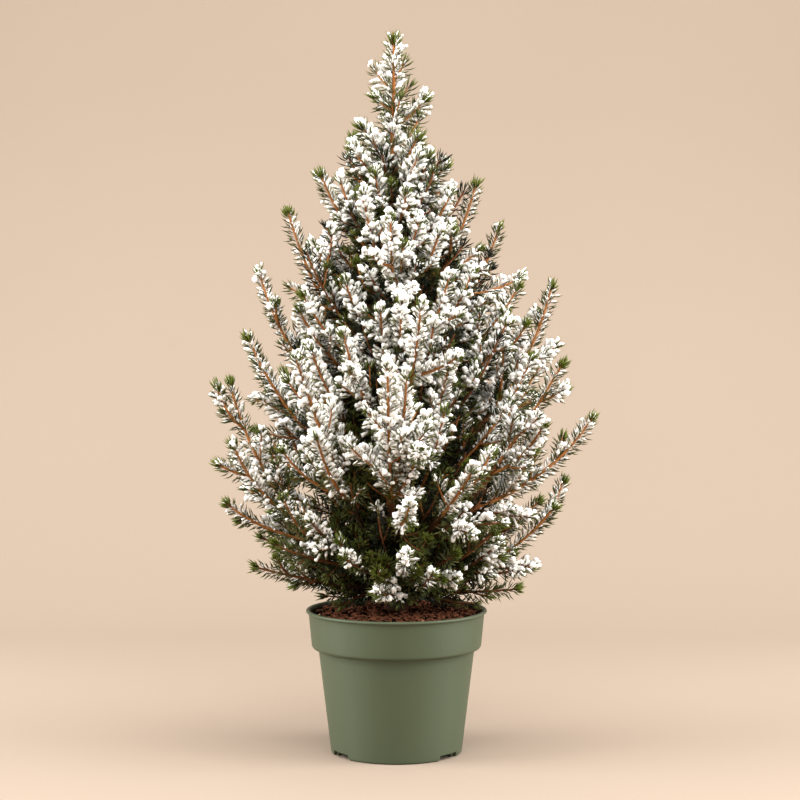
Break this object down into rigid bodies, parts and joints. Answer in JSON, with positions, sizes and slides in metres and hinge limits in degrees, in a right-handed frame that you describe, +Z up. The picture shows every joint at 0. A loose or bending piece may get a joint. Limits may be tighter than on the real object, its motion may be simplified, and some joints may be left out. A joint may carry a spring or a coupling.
{
  "type": "potted dwarf spruce",
  "caption": "Young conical spruce with upswept boughs dusted with snow, rooted in compost in a round tapered plastic nursery pot.",
  "frame": {"origin": "middle of the flat underside of the pot", "axes": "+Z up along the trunk, -Y the front, +X to the right seen from the front"},
  "size_m": [0.3962, 0.3566, 0.752],
  "materials": {
    "pot": "moulded sage green plastic, matt with a faint sheen",
    "compost": "loose reddish brown coir and bark compost",
    "bark": "scaly grey-brown bark, orange-brown on the young shoots",
    "foliage": "short dark green needles, fresher green at the tips",
    "snow": "matt white snow lying on the needles"
  },
  "bodies": {
    "root": {"pot": "pot", "compost": "compost", "trunk": "bark", "bough_back_left": "bark", "bough_back_right": "bark", "bough_front": "bark", "bough_front_left": "bark", "bough_front_right": "bark", "bough_left_high": "bark", "bough_left_long": "bark", "bough_left_low": "bark", "bough_right_high": "bark", "bough_right_long": "bark", "bough_right_low": "bark", "foliage_back_left_end": "foliage", "foliage_back_left_side": "foliage", "foliage_back_low": "foliage", "foliage_back_middle": "foliage", "foliage_back_right_end": "foliage", "foliage_back_right_side": "foliage", "foliage_crown_back_left": "foliage", "foliage_crown_back_right": "foliage", "foliage_crown_front": "foliage", "foliage_crown_left": "foliage", "foliage_crown_right": "foliage", "foliage_foot_front": "foliage", "foliage_foot_left": "foliage", "foliage_front_end": "foliage", "foliage_front_left_end": "foliage", "foliage_front_left_side": "foliage", "foliage_front_low": "foliage", "foliage_front_right_end": "foliage", "foliage_front_right_side": "foliage", "foliage_front_side": "foliage", "foliage_leader": "foliage", "foliage_left_high_end": "foliage", "foliage_left_long_end": "foliage", "foliage_left_long_front": "foliage", "foliage_left_long_low": "foliage", "foliage_left_long_side": "foliage", "foliage_left_low_end": "foliage", "foliage_left_low_side": "foliage", "foliage_right_high_end": "foliage", "foliage_right_high_side": "foliage", "foliage_right_long_end": "foliage", "foliage_right_long_outer": "foliage", "foliage_right_long_side": "foliage", "foliage_right_low_end": "foliage", "foliage_right_low_side": "foliage", "foliage_shoulder_back": "foliage", "foliage_shoulder_front": "foliage", "foliage_shoulder_front_left": "foliage", "foliage_shoulder_front_right": "foliage", "foliage_shoulder_left": "foliage", "foliage_shoulder_right": "foliage", "foliage_side_left": "foliage", "foliage_side_right": "foliage", "foliage_top_back": "foliage", "foliage_top_left": "foliage", "foliage_top_right": "foliage"}
  },
  "joints": []
}
